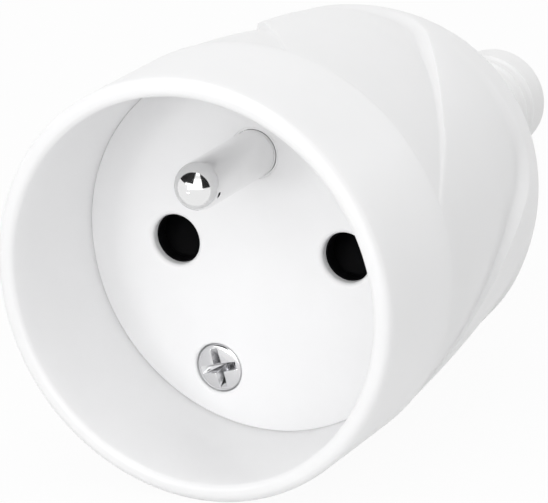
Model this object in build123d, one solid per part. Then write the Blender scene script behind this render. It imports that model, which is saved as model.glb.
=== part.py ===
"""Trailing socket for a round two-pole plug with earth, in millimetres.

The origin is the centre of the contact face.  +Y runs into the socket along its axis, +Z points to the
earth pin and +X to the live contact.
"""
import os
from math import acos, cos, pi, radians, sin, sqrt

from build123d import *

# Plug interface
PIN_SPACING = 19.0
APERTURE_RADIUS = 2.6
APERTURE_ROUND = 0.5
APERTURE_TO_WALL = 9.7
RECESS_DEPTH = 15.0
RECESS_DRAFT = 0.5
EARTH_RISE = 10.0
EARTH_RADIUS = 2.4
EARTH_REACH = 14.0

# Collar
COLLAR_WALL = 2.3
COLLAR_BACK = -0.7
LIP_OUTER_ROUND = 0.9
LIP_INNER_ROUND = 0.6
COLLAR_BACK_ROUND = 0.4

# Twisted grip: leaves that sink from one ridge to a step up to the next, and a domed end
RIDGES = 6
RIDGE_ANGLE = 69.4
TWIST_PER_MM = 2.0
RIDGE_STEP = 0.2
RIDGE_SLOPE = 0.095
STEP_FRONT = 0.5
STEP_BACK = 0.8
STEP_FADE_START = 18.5
STEP_FADE_END = 26.0
STEP_ANGLE_FRONT = 0.9
STEP_ANGLE_BACK = 6.0
LEAF_FLATNESS = 0.01
DOME_START = 19.0
DOME_LENGTH = 23.2
DOME_POWER = 2.2
NOSE_CUT = 1.46
GRIP_ROOT = 1.8
GRIP_SPANS = 18
GRIP_WALL = 2.2
CAVITY_TURN = 22.0
CROWN_WALL = 1.5
END_WALL = 2.2

# Face plate
PLATE_RIM = 1.6
PLATE_THICK = 2.4
PLATE_GAP = 0.1
SEAT_WIDTH = 1.2
HUB_GAP = 0.5

# Shutter and its room behind the plate
SHUTTER_THICK = 3.4
SLIDE_GAP = 0.2
PAD_OVERLAP_SIDE = 1.3
PAD_OVERLAP_TOP = 0.8
PAD_OVERLAP_FOOT = 1.0
RAMP_FOOT = 0.4
RAMP_EDGE = 0.6
BRIDGE_HEIGHT = 2.6
BRIDGE_SETBACK = 0.6
OPEN_MARGIN = 0.2
RAIL_WIDTH = 1.5
STOP_HEIGHT = 1.2
STOP_GAP = 0.3
SPRING_ROOM = 11.6
SPRING_RADIUS = 1.45
SPRING_WIRE = 0.22
SPRING_TURNS = 6
SPRING_WIRE_SIDES = 6
SPRING_END_GAP = 0.05
LEDGE_THICK = 0.9
LEDGE_WIDTH = 5.0
SPIGOT_RADIUS = 1.0
SPIGOT_LENGTH = 1.5

# Contact carrier
CARRIER_THICK = 2.0
TOWER_LENGTH = 10.0
TOWER_WALL = 1.4
GUIDE_LIP = 1.0
EARTH_TOWER_LENGTH = 7.8
TONGUE_WIDTH = 12.0
TONGUE_THICK = 2.0
TONGUE_DROP = 7.5

# Contacts and terminals
CONTACT_BORE = 2.35
CONTACT_WALL = 0.6
CONTACT_GAP = 0.1
CONTACT_SLOT = 0.9
CONTACT_SLOT_LENGTH = 8.0
CONTACT_BACK = 1.6
CLIP_WALL = 0.4
CLIP_WIDTH = 4.0
CLIP_OFFSET = 1.8
CLIP_SPLIT = 1.2
CLIP_GAP = 0.05
FLANGE_RADIUS = 4.2
FLANGE_THICK = 1.0
SPIGOT_BACK_RADIUS = 1.7
SPIGOT_BACK_LENGTH = 3.0
SPIGOT_BACK_GAP = 0.05
TERMINAL_SIDE = 7.0
TERMINAL_LENGTH = 8.0
TERMINAL_ROUND = 0.6
WIRE_RADIUS = 1.7
WIRE_DEPTH = 4.2
TERMINAL_SCREW_INSET = 2.2

# Earth pin
EARTH_SHOULDER = 0.2
EARTH_GROOVE_DEPTH = 0.4
EARTH_GROOVE_FRONT = 0.3
EARTH_GROOVE_BACK = 0.2
EARTH_FLANGE_RADIUS = 4.0
EARTH_FLANGE_THICK = 1.5
EARTH_GAP = 0.05

# Screws
SCREW_SIDE = 5.4
SCREW_DROP = 13.2
COVER_SCREW_RADIUS = 1.7
COVER_HEAD_RADIUS = 2.4
COVER_HEAD_HEIGHT = 1.8
COVER_HEAD_SUNK = 0.2
COVER_MOUTH_ROUND = 0.3
COVER_SCREW_LENGTH = 20.0
COVER_HOLE_GAP = 0.2
COVER_BOSS_WALL = 1.1
INSERT_WALL = 0.65
INSERT_LENGTH = 12.0
BOSS_WALL = 1.2
BOSS_LENGTH = 16.0
BOSS_GAP = 0.3
THREAD_GAP = 0.05
CARRIER_SCREW_SIDE = 8.5
CARRIER_SCREW_RISE = 11.0
CARRIER_SCREW_RADIUS = 1.1
CARRIER_HEAD_RADIUS = 2.0
CARRIER_HEAD_HEIGHT = 1.4
CARRIER_SCREW_LENGTH = 5.6
POST_RADIUS = 2.2
TERMINAL_SCREW_RADIUS = 1.5
TERMINAL_HEAD_RADIUS = 2.4
TERMINAL_HEAD_HEIGHT = 1.8
CLAMP_SCREW_RADIUS = 1.2
CLAMP_HEAD_RADIUS = 2.0
CLAMP_HEAD_HEIGHT = 1.5
CLAMP_SCREW_DEPTH = 6.0
HEAD_EDGE = 0.5
DRIVE_WIDTH = 0.9
DRIVE_DEPTH = 0.9
DRIVE_SHARE = 1.6

# Cable clamp and sleeve
CABLE_RADIUS = 4.1
CLAMP_GAP = 0.2
CLAMP_WIDTH = 18.0
CLAMP_LENGTH = 5.0
CLAMP_SPLIT = 1.2
CLAMP_ROOF = 1.9
CLAMP_SETBACK = 0.2
CLAMP_AFTER_TERMINAL = 0.8
SLEEVE_WALL = 1.55
SLEEVE_LENGTH = 18.3
SLEEVE_FLANGE_RADIUS = 6.9
SLEEVE_FLANGE_THICK = 1.6
SLEEVE_BASE_RADIUS = 6.2
SLEEVE_BASE_LENGTH = 1.4
SLEEVE_TAPER_LENGTH = 2.4
SLEEVE_NECK_GAP = 0.05
SLEEVE_HOLE_RADIUS = 5.0
SLEEVE_END_ROUND = 1.2
SLEEVE_GROOVES = 5
SLEEVE_RIB_PITCH = 1.85
SLEEVE_GROOVE_RADIUS = 0.75
SLEEVE_GROOVE_DEPTH = 0.3
SLEEVE_PLAIN_END = 4.3

# Places that follow from the sizes above
CONTACT_X = PIN_SPACING / 2
RECESS_RADIUS = CONTACT_X + APERTURE_TO_WALL
COLLAR_RADIUS = RECESS_RADIUS + COLLAR_WALL
RIDGE_FRONT = COLLAR_RADIUS - RIDGE_STEP
RIDGE_TURN = RIDGE_FRONT - RIDGE_SLOPE * (CAVITY_TURN - COLLAR_BACK)
CAVITY_FRONT = RECESS_RADIUS - SEAT_WIDTH
CAVITY_BACK = RIDGE_TURN - STEP_BACK - GRIP_WALL
NOSE_Y = DOME_START + DOME_LENGTH - NOSE_CUT
CAVITY_DEPTH = NOSE_Y - CROWN_WALL - CAVITY_TURN
CARRIER_FRONT = PLATE_THICK + SHUTTER_THICK + 2 * SLIDE_GAP
CARRIER_BACK = CARRIER_FRONT + CARRIER_THICK
CAVITY_SLOPE = (CAVITY_FRONT - CAVITY_BACK) / (CAVITY_TURN - PLATE_RIM)
PLATE_HUB = CAVITY_FRONT - CAVITY_SLOPE * (CARRIER_FRONT - PLATE_RIM) - HUB_GAP / 2
HUB_RADIUS = CAVITY_FRONT - CAVITY_SLOPE * (CARRIER_BACK - PLATE_RIM) - HUB_GAP
TOWER_BACK = CARRIER_BACK + TOWER_LENGTH
TERMINAL_FRONT = TOWER_BACK + FLANGE_THICK
TERMINAL_BACK = TERMINAL_FRONT + TERMINAL_LENGTH
CLAMP_FRONT = TERMINAL_BACK + CLAMP_AFTER_TERMINAL
CLAMP_BACK = CLAMP_FRONT + CLAMP_LENGTH
CONTACT_RADIUS = CONTACT_BORE + CONTACT_WALL
CONTACT_FRONT = CARRIER_FRONT + GUIDE_LIP + CONTACT_GAP
TOWER_BORE = CONTACT_RADIUS + CLIP_GAP + CLIP_WALL + CONTACT_GAP
TOWER_RADIUS = TOWER_BORE + TOWER_WALL
PAD_SIDE = APERTURE_RADIUS + PAD_OVERLAP_SIDE
PAD_TOP = APERTURE_RADIUS + PAD_OVERLAP_TOP
PAD_FOOT = -APERTURE_RADIUS - PAD_OVERLAP_FOOT
SHUTTER_TRAVEL = PAD_TOP + APERTURE_RADIUS + OPEN_MARGIN
SHUTTER_FRONT = PLATE_THICK + SLIDE_GAP
SHUTTER_BACK = SHUTTER_FRONT + SHUTTER_THICK
SPRING_Y = (PLATE_THICK + CARRIER_FRONT) / 2
LEDGE_TOP = PAD_FOOT - SPRING_ROOM
SLEEVE_RADIUS = CABLE_RADIUS + SLEEVE_WALL
SLEEVE_NECK = SLEEVE_HOLE_RADIUS - SLEEVE_NECK_GAP
SLEEVE_FRONT = NOSE_Y - END_WALL - SLEEVE_FLANGE_THICK
SLEEVE_BACK = NOSE_Y + SLEEVE_LENGTH
CLAMP_BORE = CABLE_RADIUS + CLAMP_GAP
CLAMP_SCREW_X = (CLAMP_BORE + CLAMP_WIDTH / 2) / 2

# Ways that a screw's head can face
HEAD_UP = Rot(0, 0, 0)
HEAD_DOWN = Rot(180, 0, 0)
HEAD_FRONT = Rot(90, 0, 0)
HEAD_BACK = Rot(-90, 0, 0)


def cross_plane(y):
    """Plane across the socket's axis at depth y, with its own x along +X and its own y along +Z."""
    return Plane.XZ.offset(-y)


def along_axis(sketch, front, back):
    """Prism of a cross-section sketch from depth front to depth back."""
    return extrude(cross_plane(front) * sketch, amount=front - back)


def rod(radius, front, back, x=0.0, z=0.0):
    """Round bar along the socket's axis, centred at (x, z)."""
    return along_axis(Pos(x, z) * Circle(radius), front, back)


def block(x_range, y_range, z_range):
    """Box between the given limits."""
    size = [high - low for low, high in (x_range, y_range, z_range)]
    middle = [(high + low) / 2 for low, high in (x_range, y_range, z_range)]
    return Pos(*middle) * Box(*size)


def turned(*points):
    """Body of revolution about the socket's axis from (radius, depth) points."""
    return revolve(make_face(Polyline(*points, close=True)), axis=Axis.Y)


def soft_hole(radius, depth, rounding, x=0.0, z=0.0):
    """Cutter for a hole from the contact face with a rounded mouth."""
    bulge = rounding * (1 - sqrt(0.5))
    mouth = ThreePointArc((radius + rounding, 0), (radius + bulge, bulge), (radius, rounding))
    rest = Polyline((radius, rounding), (radius, depth), (0, depth), (0, 0), (radius + rounding, 0))
    return Pos(x, 0, z) * revolve(make_face([mouth] + rest.edges()), axis=Axis.Y)


def screw(head_radius, head_height, radius, length):
    """Cross-recess screw with its head standing on the plane z = 0 and its shank below."""
    head = Cylinder(head_radius, head_height, align=(Align.CENTER, Align.CENTER, Align.MIN))
    head = chamfer(head.edges().group_by(Axis.Z)[-1], min(HEAD_EDGE, head_height / 3))
    shank = Cylinder(radius, length, align=(Align.CENTER, Align.CENTER, Align.MAX))
    arm = head_radius * DRIVE_SHARE
    cross = Rectangle(arm, DRIVE_WIDTH) + Rectangle(DRIVE_WIDTH, arm)
    return head + shank - extrude(Pos(0, 0, head_height) * cross, amount=-DRIVE_DEPTH)


def ridge_radius(y):
    """Distance of the grip's ridges from the axis at depth y."""
    straight = RIDGE_FRONT - RIDGE_SLOPE * (y - COLLAR_BACK)
    share = max(0, (y - DOME_START) / DOME_LENGTH)
    return straight * (1 - share ** DOME_POWER) ** (1 / DOME_POWER)


def step_height(y):
    """How far each leaf has sunk where it meets the step to the next ridge, at depth y."""
    share = (y - COLLAR_BACK) / (STEP_FADE_START - COLLAR_BACK)
    height = STEP_FRONT + (STEP_BACK - STEP_FRONT) * min(1, share)
    fade = (y - STEP_FADE_START) / (STEP_FADE_END - STEP_FADE_START)
    return height * (1 + cos(pi * min(1, max(0, fade)))) / 2


def grip_section(y):
    """Face across the grip at depth y: six sinking leaves and six steps, turned with the depth."""
    radius = ridge_radius(y)
    low = radius - step_height(y)
    share = min(1, max(0, y / STEP_FADE_END))
    wide = STEP_ANGLE_FRONT + (STEP_ANGLE_BACK - STEP_ANGLE_FRONT) * share ** 3
    turn = 360 / RIDGES
    start = RIDGE_ANGLE - TWIST_PER_MM * y

    def spot(angle, reach):
        return (reach * sin(radians(angle)), reach * cos(radians(angle)))

    edges = []
    for number in range(RIDGES):
        angle = start + number * turn
        foot = spot(angle + turn - wide, low)
        crown = spot(angle + (turn - wide) / 2, (radius + low) / 2 - LEAF_FLATNESS * radius)
        edges.append(ThreePointArc(spot(angle, radius), crown, foot))
        edges.append(Line(foot, spot(angle + turn, radius)))
    return cross_plane(y) * make_face(edges)


def twisted_grip():
    """Solid grip from inside the collar to the flat end of the dome."""
    root = COLLAR_BACK - GRIP_ROOT
    span = (NOSE_Y - root) / GRIP_SPANS
    return loft([grip_section(root + number * span) for number in range(GRIP_SPANS + 1)])


def collar():
    """Solid collar with a rounded lip and a softened back edge."""
    profile = make_face(Polyline((0, -RECESS_DEPTH), (COLLAR_RADIUS, -RECESS_DEPTH),
                                 (COLLAR_RADIUS, COLLAR_BACK), (0, COLLAR_BACK), close=True))
    outer = profile.vertices().group_by(Axis.X)[-1].sort_by(Axis.Y)
    profile = fillet(outer[0], LIP_OUTER_ROUND)
    outer = profile.vertices().group_by(Axis.X)[-1].sort_by(Axis.Y)
    profile = fillet(outer[-1], COLLAR_BACK_ROUND)
    return revolve(profile, axis=Axis.Y)


def recess():
    """Drafted room for the plug, with a rounded mouth, down to the face plate's seat."""
    mouth = RECESS_RADIUS + RECESS_DRAFT
    bulge = LIP_INNER_ROUND * (1 - sqrt(0.5))
    lip = ThreePointArc((mouth + LIP_INNER_ROUND, -RECESS_DEPTH), (mouth + bulge, -RECESS_DEPTH + bulge),
                        (mouth, -RECESS_DEPTH + LIP_INNER_ROUND))
    rest = Polyline((mouth, -RECESS_DEPTH + LIP_INNER_ROUND), (RECESS_RADIUS, 0), (RECESS_RADIUS, PLATE_RIM),
                    (0, PLATE_RIM), (0, -RECESS_DEPTH), (mouth + LIP_INNER_ROUND, -RECESS_DEPTH))
    return revolve(make_face([lip] + rest.edges()), axis=Axis.Y)


def cavity():
    """Room inside the grip for the contacts, ending in a flat seat for the sleeve's flange."""
    seat_radius = SLEEVE_FLANGE_RADIUS + HUB_GAP
    seat_y = NOSE_Y - END_WALL

    def dome_spot(angle):
        return (CAVITY_BACK * cos(angle), CAVITY_TURN + CAVITY_DEPTH * sin(angle))

    last = acos(seat_radius / CAVITY_BACK)
    ceiling = ThreePointArc(dome_spot(0), dome_spot(last / 2), dome_spot(last))
    rest = Polyline(dome_spot(last), (seat_radius, seat_y), (0, seat_y), (0, PLATE_RIM),
                    (CAVITY_FRONT, PLATE_RIM), dome_spot(0))
    return revolve(make_face([ceiling] + rest.edges()), axis=Axis.Y)


def housing():
    """Collar, twisted grip and screw boss moulded in one piece."""
    shape = collar() + twisted_grip()
    insert_radius = COVER_SCREW_RADIUS + THREAD_GAP + INSERT_WALL
    front = CARRIER_BACK + BOSS_GAP
    boss = rod(insert_radius + BOSS_WALL, front, front + BOSS_LENGTH, -SCREW_SIDE, -SCREW_DROP)
    shape = shape - (recess() + cavity() - boss)
    hole_depth = front + INSERT_LENGTH + 2 * BOSS_WALL
    shape = shape - rod(insert_radius + THREAD_GAP, front, hole_depth, -SCREW_SIDE, -SCREW_DROP)
    return shape - rod(SLEEVE_HOLE_RADIUS, CAVITY_TURN, NOSE_Y + END_WALL)


def face_plate():
    """Contact face with the apertures, and the shutter's rails, stops and spring ledge on its back."""
    room_back = CARRIER_FRONT
    back = rod(PLATE_HUB, PLATE_RIM, PLATE_THICK)
    rail_x = CONTACT_X + PAD_SIDE + SLIDE_GAP
    rail_z = sqrt(PLATE_HUB ** 2 - (rail_x + RAIL_WIDTH) ** 2)
    for side in (-1, 1):
        x_range = sorted((side * rail_x, side * (rail_x + RAIL_WIDTH)))
        back += block(x_range, (PLATE_RIM, room_back), (-rail_z, rail_z))
        stop_low = PAD_TOP + STOP_GAP
        middle = side * CONTACT_X
        back += block((middle - APERTURE_RADIUS, middle + APERTURE_RADIUS), (PLATE_RIM, room_back),
                       (stop_low, stop_low + STOP_HEIGHT))
        post = rod(POST_RADIUS, PLATE_RIM, room_back, side * CARRIER_SCREW_SIDE, CARRIER_SCREW_RISE)
        back += post
    back += block((-LEDGE_WIDTH / 2, LEDGE_WIDTH / 2), (PLATE_RIM, room_back),
                  (LEDGE_TOP - LEDGE_THICK, LEDGE_TOP))
    back += Pos(0, SPRING_Y, LEDGE_TOP + SPIGOT_LENGTH / 2) * Cylinder(SPIGOT_RADIUS, SPIGOT_LENGTH)
    hole = COVER_SCREW_RADIUS + COVER_HOLE_GAP
    back += rod(hole + COVER_BOSS_WALL, PLATE_RIM, room_back, -SCREW_SIDE, -SCREW_DROP)
    plate = rod(RECESS_RADIUS - PLATE_GAP, 0, PLATE_RIM) + (back & rod(PLATE_HUB, PLATE_RIM, room_back))
    head_seat = COVER_HEAD_SUNK + COVER_HEAD_HEIGHT
    plate -= rod(hole, 0, room_back, -SCREW_SIDE, -SCREW_DROP)
    plate -= soft_hole(COVER_HEAD_RADIUS + COVER_HOLE_GAP, head_seat, COVER_MOUTH_ROUND,
                       -SCREW_SIDE, -SCREW_DROP)
    for side in (-1, 1):
        plate -= soft_hole(APERTURE_RADIUS, PLATE_THICK, APERTURE_ROUND, side * CONTACT_X)
        pilot_front = CARRIER_BACK - CARRIER_SCREW_LENGTH - CARRIER_SCREW_RADIUS
        pilot = rod(CARRIER_SCREW_RADIUS + THREAD_GAP, pilot_front, room_back,
                    side * CARRIER_SCREW_SIDE, CARRIER_SCREW_RISE)
        plate -= pilot
    return plate - rod(EARTH_RADIUS + EARTH_SHOULDER + EARTH_GAP, 0, PLATE_THICK, 0, EARTH_RISE)


def shutter():
    """Sliding shutter: a ramped pad behind each aperture, joined by a bridge with a spring spigot."""
    ramp = Polyline((SHUTTER_FRONT, PAD_FOOT), (SHUTTER_BACK, PAD_FOOT), (SHUTTER_BACK, PAD_TOP),
                    (SHUTTER_BACK - RAMP_EDGE, PAD_TOP), (SHUTTER_FRONT, -APERTURE_RADIUS + RAMP_FOOT),
                    close=True)
    outline = make_face(ramp)
    piece = block((-CONTACT_X, CONTACT_X), (SHUTTER_FRONT + BRIDGE_SETBACK, SHUTTER_BACK),
                  (PAD_FOOT, PAD_FOOT + BRIDGE_HEIGHT))
    for side in (-1, 1):
        start = side * CONTACT_X - PAD_SIDE
        plane = Plane(origin=(start, 0, 0), x_dir=(0, 1, 0), z_dir=(1, 0, 0))
        piece += extrude(plane * outline, amount=2 * PAD_SIDE)
    return piece + Pos(0, SPRING_Y, PAD_FOOT - SPIGOT_LENGTH / 2) * Cylinder(SPIGOT_RADIUS, SPIGOT_LENGTH)


def shutter_spring():
    """Coil spring between the plate's ledge and the shutter's bridge."""
    low = LEDGE_TOP + SPRING_WIRE + SPRING_END_GAP
    height = SPRING_ROOM - 2 * (SPRING_WIRE + SPRING_END_GAP)
    path = Helix(pitch=height / SPRING_TURNS, height=height, radius=SPRING_RADIUS)
    section = Plane(origin=path @ 0, z_dir=path % 0) * RegularPolygon(SPRING_WIRE, SPRING_WIRE_SIDES)
    return Pos(0, SPRING_Y, low) * sweep(section, path=path)


def contact_carrier():
    """Block that holds the contacts and the earth pin, with a tongue for the cable clamp."""
    carrier = rod(HUB_RADIUS, CARRIER_FRONT, CARRIER_BACK)
    earth_bore = EARTH_RADIUS + EARTH_GAP
    flange_back = PLATE_THICK + EARTH_FLANGE_THICK
    earth_wall = EARTH_FLANGE_RADIUS
    carrier += rod(earth_wall, flange_back, CARRIER_BACK + EARTH_TOWER_LENGTH, 0, EARTH_RISE)
    for side in (-1, 1):
        carrier += rod(TOWER_RADIUS, CARRIER_FRONT, TOWER_BACK, side * CONTACT_X)
    tongue_low = -TONGUE_DROP - TONGUE_THICK
    carrier += block((-TONGUE_WIDTH / 2, TONGUE_WIDTH / 2), (CARRIER_FRONT, CLAMP_BACK),
                     (tongue_low, -TONGUE_DROP))
    carrier += block((-CLAMP_WIDTH / 2, CLAMP_WIDTH / 2), (CLAMP_FRONT, CLAMP_BACK),
                     (-TONGUE_DROP, CLAMP_SPLIT))
    carrier -= rod(CLAMP_BORE, CLAMP_FRONT, CLAMP_BACK)
    for side in (-1, 1):
        carrier -= rod(APERTURE_RADIUS, CARRIER_FRONT, TOWER_BACK, side * CONTACT_X)
        carrier -= rod(TOWER_BORE, CARRIER_FRONT + GUIDE_LIP, TOWER_BACK, side * CONTACT_X)
        carrier -= rod(CARRIER_SCREW_RADIUS + COVER_HOLE_GAP, CARRIER_FRONT, CARRIER_BACK,
                       side * CARRIER_SCREW_SIDE, CARRIER_SCREW_RISE)
        screw_hole = Cylinder(CLAMP_SCREW_RADIUS + THREAD_GAP, CLAMP_SCREW_DEPTH + THREAD_GAP,
                              align=(Align.CENTER, Align.CENTER, Align.MAX))
        carrier -= Pos(side * CLAMP_SCREW_X, (CLAMP_FRONT + CLAMP_BACK) / 2, CLAMP_SPLIT) * screw_hole
    carrier -= rod(earth_bore, flange_back, CARRIER_BACK + EARTH_TOWER_LENGTH, 0, EARTH_RISE)
    cover_hole = COVER_SCREW_RADIUS + COVER_HOLE_GAP
    return carrier - rod(cover_hole, CARRIER_FRONT, CARRIER_BACK, -SCREW_SIDE, -SCREW_DROP)


def contact(side):
    """Slotted brass tulip with a flange behind its tower and a spigot into the terminal."""
    bore_back = TOWER_BACK - CONTACT_BACK
    body = turned((0, bore_back), (CONTACT_BORE, bore_back), (CONTACT_BORE, CONTACT_FRONT + CONTACT_WALL),
                  (CONTACT_RADIUS, CONTACT_FRONT), (CONTACT_RADIUS, TOWER_BACK), (FLANGE_RADIUS, TOWER_BACK),
                  (FLANGE_RADIUS, TERMINAL_FRONT), (SPIGOT_BACK_RADIUS, TERMINAL_FRONT),
                  (SPIGOT_BACK_RADIUS, TERMINAL_FRONT + SPIGOT_BACK_LENGTH),
                  (0, TERMINAL_FRONT + SPIGOT_BACK_LENGTH))
    slots = Rectangle(3 * CONTACT_RADIUS, CONTACT_SLOT) + Rectangle(CONTACT_SLOT, 3 * CONTACT_RADIUS)
    body -= along_axis(slots, CONTACT_FRONT, CONTACT_FRONT + CONTACT_SLOT_LENGTH)
    return Pos(side * CONTACT_X, 0, 0) * body


def contact_springs():
    """Split steel bands that press the tulips' leaves on to the plug's pins."""
    inner = CONTACT_RADIUS + CLIP_GAP
    ring = Circle(inner + CLIP_WALL) - Circle(inner) - Pos(0, inner) * Rectangle(CLIP_SPLIT, inner)
    front = CONTACT_FRONT + CLIP_OFFSET
    band = along_axis(ring, front, front + CLIP_WIDTH)
    return [Pos(side * CONTACT_X, 0, 0) * band for side in (-1, 1)]


def terminal(x, z, way):
    """Brass terminal block; way is +1 where its screw goes in from above and -1 from below."""
    half = TERMINAL_SIDE / 2
    piece = block((-half, half), (TERMINAL_FRONT, TERMINAL_BACK), (-half, half))
    piece = fillet(piece.edges().filter_by(Axis.Y), TERMINAL_ROUND)
    piece -= rod(SPIGOT_BACK_RADIUS + SPIGOT_BACK_GAP, TERMINAL_FRONT,
                 TERMINAL_FRONT + SPIGOT_BACK_LENGTH + SPIGOT_BACK_GAP)
    piece -= rod(WIRE_RADIUS, TERMINAL_BACK - WIRE_DEPTH, TERMINAL_BACK)
    hole = Cylinder(TERMINAL_SCREW_RADIUS + THREAD_GAP, half, align=(Align.CENTER, Align.CENTER, Align.MIN))
    piece -= Pos(0, TERMINAL_BACK - TERMINAL_SCREW_INSET, 0 if way > 0 else -half) * hole
    return Pos(x, 0, z) * piece


def terminal_screw(x, z, way):
    """Wire screw of the terminal at (x, z)."""
    half = TERMINAL_SIDE / 2
    piece = screw(TERMINAL_HEAD_RADIUS, TERMINAL_HEAD_HEIGHT, TERMINAL_SCREW_RADIUS, half)
    facing = HEAD_UP if way > 0 else HEAD_DOWN
    return Pos(x, TERMINAL_BACK - TERMINAL_SCREW_INSET, z + way * half) * facing * piece


def cover_screw():
    """Screw through the face plate and the carrier into the housing's boss."""
    seat = COVER_HEAD_SUNK + COVER_HEAD_HEIGHT
    piece = screw(COVER_HEAD_RADIUS, COVER_HEAD_HEIGHT, COVER_SCREW_RADIUS, COVER_SCREW_LENGTH)
    return Pos(-SCREW_SIDE, seat, -SCREW_DROP) * HEAD_FRONT * piece


def carrier_screws():
    """Two screws that hold the carrier to posts on the face plate."""
    piece = screw(CARRIER_HEAD_RADIUS, CARRIER_HEAD_HEIGHT, CARRIER_SCREW_RADIUS, CARRIER_SCREW_LENGTH)
    piece = HEAD_BACK * piece
    return [Pos(side * CARRIER_SCREW_SIDE, CARRIER_BACK, CARRIER_SCREW_RISE) * piece for side in (-1, 1)]


def earth_pin():
    """Round-ended earth pin with a flange behind the face plate and a spigot into its terminal."""
    flange_back = PLATE_THICK + EARTH_FLANGE_THICK
    shoulder = EARTH_RADIUS + EARTH_SHOULDER
    neck = EARTH_RADIUS - EARTH_GROOVE_DEPTH
    tail = TERMINAL_FRONT + SPIGOT_BACK_LENGTH
    bulge = EARTH_RADIUS * sqrt(0.5)
    ball_y = -EARTH_REACH + EARTH_RADIUS
    ball = ThreePointArc((0, -EARTH_REACH), (bulge, ball_y - bulge), (EARTH_RADIUS, ball_y))
    rest = Polyline((EARTH_RADIUS, ball_y), (EARTH_RADIUS, -EARTH_GROOVE_FRONT), (neck, -EARTH_GROOVE_FRONT),
                    (neck, EARTH_GROOVE_BACK), (shoulder, EARTH_GROOVE_BACK), (shoulder, PLATE_THICK),
                    (EARTH_FLANGE_RADIUS, PLATE_THICK), (EARTH_FLANGE_RADIUS, flange_back),
                    (EARTH_RADIUS, flange_back), (EARTH_RADIUS, TERMINAL_FRONT),
                    (SPIGOT_BACK_RADIUS, TERMINAL_FRONT), (SPIGOT_BACK_RADIUS, tail), (0, tail),
                    (0, -EARTH_REACH))
    return Pos(0, 0, EARTH_RISE) * revolve(make_face([ball] + rest.edges()), axis=Axis.Y)


def cover_insert():
    """Threaded brass insert in the housing's boss."""
    bore = COVER_SCREW_RADIUS + THREAD_GAP
    front = CARRIER_BACK + BOSS_GAP
    back = front + INSERT_LENGTH
    tube = Circle(bore + INSERT_WALL) - Circle(bore)
    return along_axis(Pos(-SCREW_SIDE, -SCREW_DROP) * tube, front, back)


def clamp_bar():
    """Upper half of the cable clamp, a bridge with a round throat."""
    y_range = (CLAMP_FRONT + CLAMP_SETBACK, CLAMP_BACK - CLAMP_SETBACK)
    top = CLAMP_BORE + CLAMP_ROOF
    bar = block((-CLAMP_WIDTH / 2, CLAMP_WIDTH / 2), y_range, (CLAMP_SPLIT, top))
    bar -= rod(CLAMP_BORE, *y_range)
    for side in (-1, 1):
        hole = Cylinder(CLAMP_SCREW_RADIUS + THREAD_GAP, 2 * top)
        bar -= Pos(side * CLAMP_SCREW_X, sum(y_range) / 2, top) * hole
    return bar


def clamp_screws():
    """Two screws that draw the clamp bar on to the carrier's saddle."""
    top = CLAMP_BORE + CLAMP_ROOF
    length = top - CLAMP_SPLIT + CLAMP_SCREW_DEPTH
    middle = (CLAMP_FRONT + CLAMP_BACK) / 2
    piece = screw(CLAMP_HEAD_RADIUS, CLAMP_HEAD_HEIGHT, CLAMP_SCREW_RADIUS, length)
    return [Pos(side * CLAMP_SCREW_X, middle, top) * HEAD_UP * piece for side in (-1, 1)]


def cable_sleeve():
    """Ribbed flexible sleeve where the cable leaves, held by a flange inside the housing."""
    wall_front = NOSE_Y - END_WALL
    base_back = NOSE_Y + SLEEVE_BASE_LENGTH
    taper_back = base_back + SLEEVE_TAPER_LENGTH
    edges = Polyline((CABLE_RADIUS, SLEEVE_FRONT), (SLEEVE_FLANGE_RADIUS, SLEEVE_FRONT),
                     (SLEEVE_FLANGE_RADIUS, wall_front), (SLEEVE_NECK, wall_front), (SLEEVE_NECK, NOSE_Y),
                     (SLEEVE_BASE_RADIUS, NOSE_Y), (SLEEVE_BASE_RADIUS, base_back),
                     (SLEEVE_RADIUS, taper_back), (SLEEVE_RADIUS, SLEEVE_BACK), (CABLE_RADIUS, SLEEVE_BACK),
                     close=True)
    profile = make_face(edges)
    tip = profile.vertices().group_by(Axis.Y)[-1].sort_by(Axis.X)[-1]
    profile = fillet(tip, SLEEVE_END_ROUND)
    reach = SLEEVE_RADIUS + SLEEVE_GROOVE_RADIUS - SLEEVE_GROOVE_DEPTH
    for number in range(SLEEVE_GROOVES):
        middle = SLEEVE_BACK - SLEEVE_PLAIN_END - number * SLEEVE_RIB_PITCH
        profile -= Pos(reach, middle) * Circle(SLEEVE_GROOVE_RADIUS)
    return revolve(profile, axis=Axis.Y)


def all_parts():
    """Every node's name with its solid or group of solids."""
    sides = (("live", 1), ("neutral", -1))
    parts = {"housing": housing(), "face_plate": face_plate(), "contact_carrier": contact_carrier(),
             "shutter": shutter(), "shutter_spring": shutter_spring()}
    for name, side in sides:
        parts[f"{name}_contact"] = contact(side)
        parts[f"{name}_terminal"] = terminal(side * CONTACT_X, 0, 1)
    parts["contact_springs"] = Compound(children=contact_springs())
    parts["earth_pin"] = earth_pin()
    parts["earth_terminal"] = terminal(0, EARTH_RISE, -1)
    wire_screws = [terminal_screw(side * CONTACT_X, 0, 1) for _, side in sides]
    wire_screws.append(terminal_screw(0, EARTH_RISE, -1))
    parts["terminal_screws"] = Compound(children=wire_screws)
    parts["cover_screw"] = cover_screw()
    parts["cover_insert"] = cover_insert()
    parts["carrier_screws"] = Compound(children=carrier_screws())
    parts["clamp_bar"] = clamp_bar()
    parts["clamp_screws"] = Compound(children=clamp_screws())
    parts["cable_sleeve"] = cable_sleeve()
    return parts


os.makedirs("parts", exist_ok=True)
for node, shape in all_parts().items():
    export_step(shape, f"parts/{node}.step")
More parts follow.
